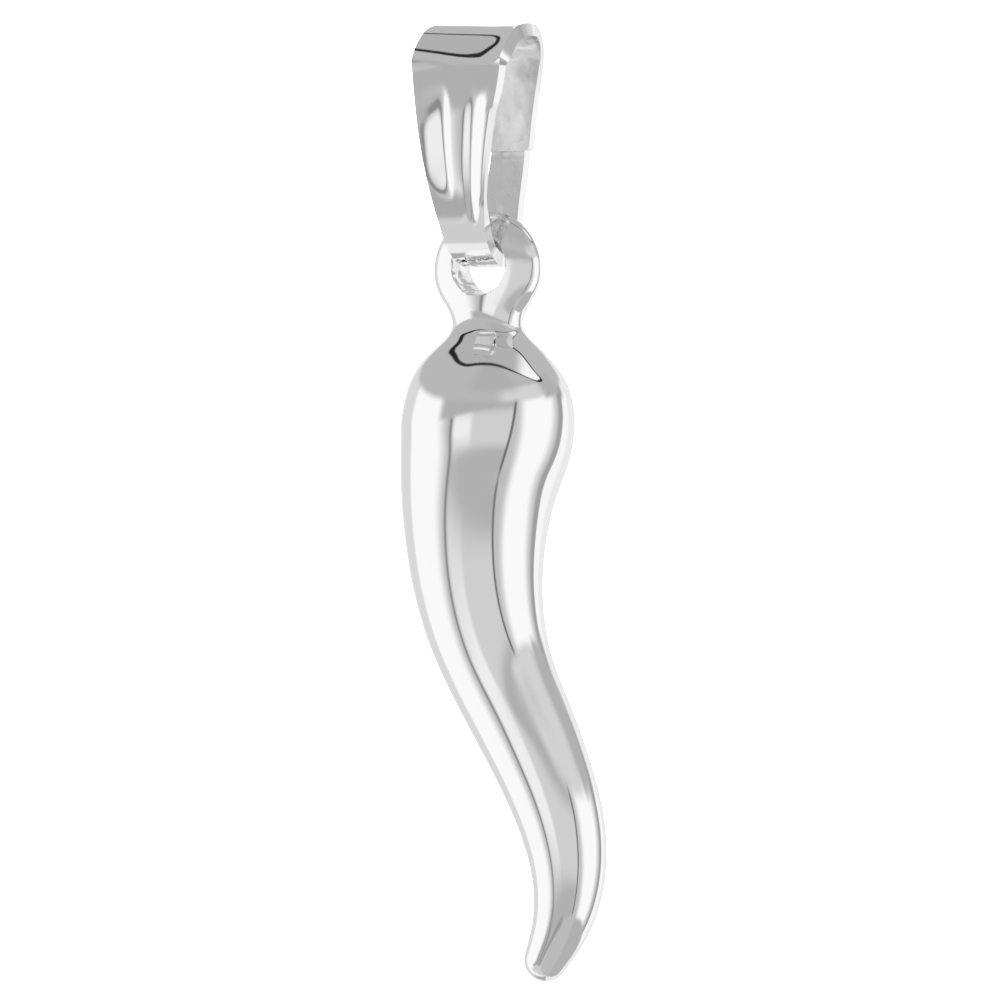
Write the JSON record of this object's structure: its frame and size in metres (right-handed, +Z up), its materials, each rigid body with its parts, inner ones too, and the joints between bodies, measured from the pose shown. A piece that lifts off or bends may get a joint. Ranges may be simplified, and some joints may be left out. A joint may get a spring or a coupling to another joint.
{
  "type": "cornicello horn pendant",
  "caption": "Polished silver horn pendant: a smooth S-curved horn with a rounded tip, a flat loop on its neck and a folded tapered bail with pressed flutes.",
  "frame": {"origin": "the chain seat: middle of the inner top of the bail, straight above the loop on the horn", "axes": "+Z up, against the pull of the hanging horn; -Y is the front, the side of the bail's fluted leaf; +X is the side that the lower bend of the horn swings to"},
  "size_m": [0.0084, 0.0068, 0.0368],
  "materials": {
    "bail_silver": "polished sterling silver sheet, a little duller inside",
    "horn_silver": "high-polished sterling silver"
  },
  "bodies": {
    "bail": {"bail": "bail_silver"},
    "horn": {"horn": "horn_silver"}
  },
  "joints": [
    {"name": "loop_swing", "type": "hinge", "parent": "bail", "child": "horn", "pos_m": [0, 0, -0.00734], "axis": [1, 0, 0], "range_deg": [-60, 90]}
  ]
}
